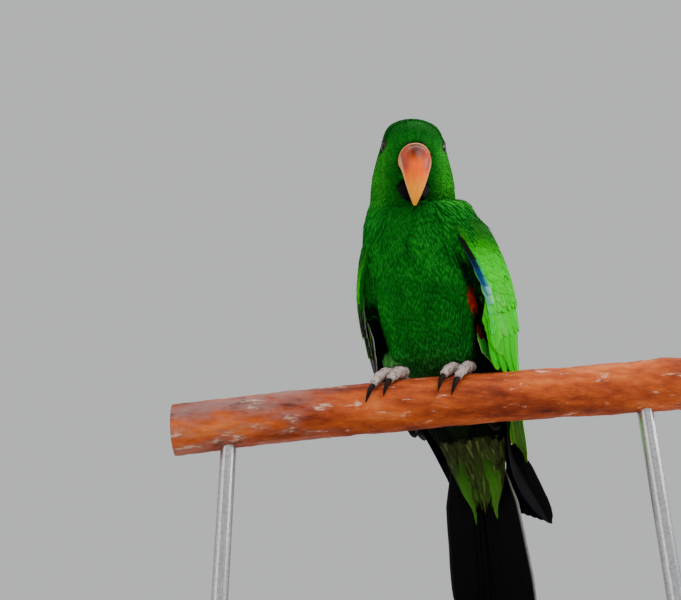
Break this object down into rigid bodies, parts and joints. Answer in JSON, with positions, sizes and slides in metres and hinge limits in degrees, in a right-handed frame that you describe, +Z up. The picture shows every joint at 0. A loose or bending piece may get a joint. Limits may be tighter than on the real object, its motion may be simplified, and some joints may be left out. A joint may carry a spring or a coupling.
{
  "type": "eclectus parrot, male, life-size display model on a branch perch and stand",
  "caption": "Male eclectus parrot, a still life-size display model gripping a short branch that two rods hold over a flat base.",
  "frame": {"origin": "centre of the stand base's underside", "axes": "+Z up, X along the branch, -Y towards the front of the branch; the bird faces -Y turned 25 degrees to -X"},
  "size_m": [0.3015, 0.1822, 0.359],
  "materials": {
    "plumage_green": "satin body feathers",
    "wing_green": "satin wing feathers",
    "flight_black": "satin flight feathers",
    "undertail_olive": "soft body feathers",
    "bill_orange": "glossy horn",
    "bill_black": "glossy horn",
    "eye_dark": "wet, glossy",
    "foot_skin": "dry scaly skin",
    "claw_black": "smooth horn",
    "perch_wood": "rough bark",
    "stand_wood": "satin lacquer",
    "stand_metal": "brushed"
  },
  "bodies": {
    "root": {"bill_lower": "bill_black", "bill_upper": "bill_orange", "claw_left_inner_back": "claw_black", "claw_left_inner_front": "claw_black", "claw_left_outer_back": "claw_black", "claw_left_outer_front": "claw_black", "claw_right_inner_back": "claw_black", "claw_right_inner_front": "claw_black", "claw_right_outer_back": "claw_black", "claw_right_outer_front": "claw_black", "eye_left": "eye_dark", "eye_right": "eye_dark", "head": "plumage_green", "neck": "plumage_green", "perch": "perch_wood", "stand_base": "stand_wood", "stand_rod_left": "stand_metal", "stand_rod_right": "stand_metal", "tail": "flight_black", "tarsus_left": "foot_skin", "tarsus_right": "foot_skin", "thigh_left": "plumage_green", "thigh_right": "plumage_green", "toe_left_inner_back": "foot_skin", "toe_left_inner_front": "foot_skin", "toe_left_outer_back": "foot_skin", "toe_left_outer_front": "foot_skin", "toe_right_inner_back": "foot_skin", "toe_right_inner_front": "foot_skin", "toe_right_outer_back": "foot_skin", "toe_right_outer_front": "foot_skin", "torso": "plumage_green", "undertail_coverts": "undertail_olive", "uppertail_coverts": "wing_green", "wing_left_coverts": "wing_green", "wing_left_primaries": "flight_black", "wing_left_secondaries": "wing_green", "wing_left_shoulder": "wing_green", "wing_right_coverts": "wing_green", "wing_right_primaries": "flight_black", "wing_right_secondaries": "wing_green", "wing_right_shoulder": "wing_green"}
  },
  "joints": []
}
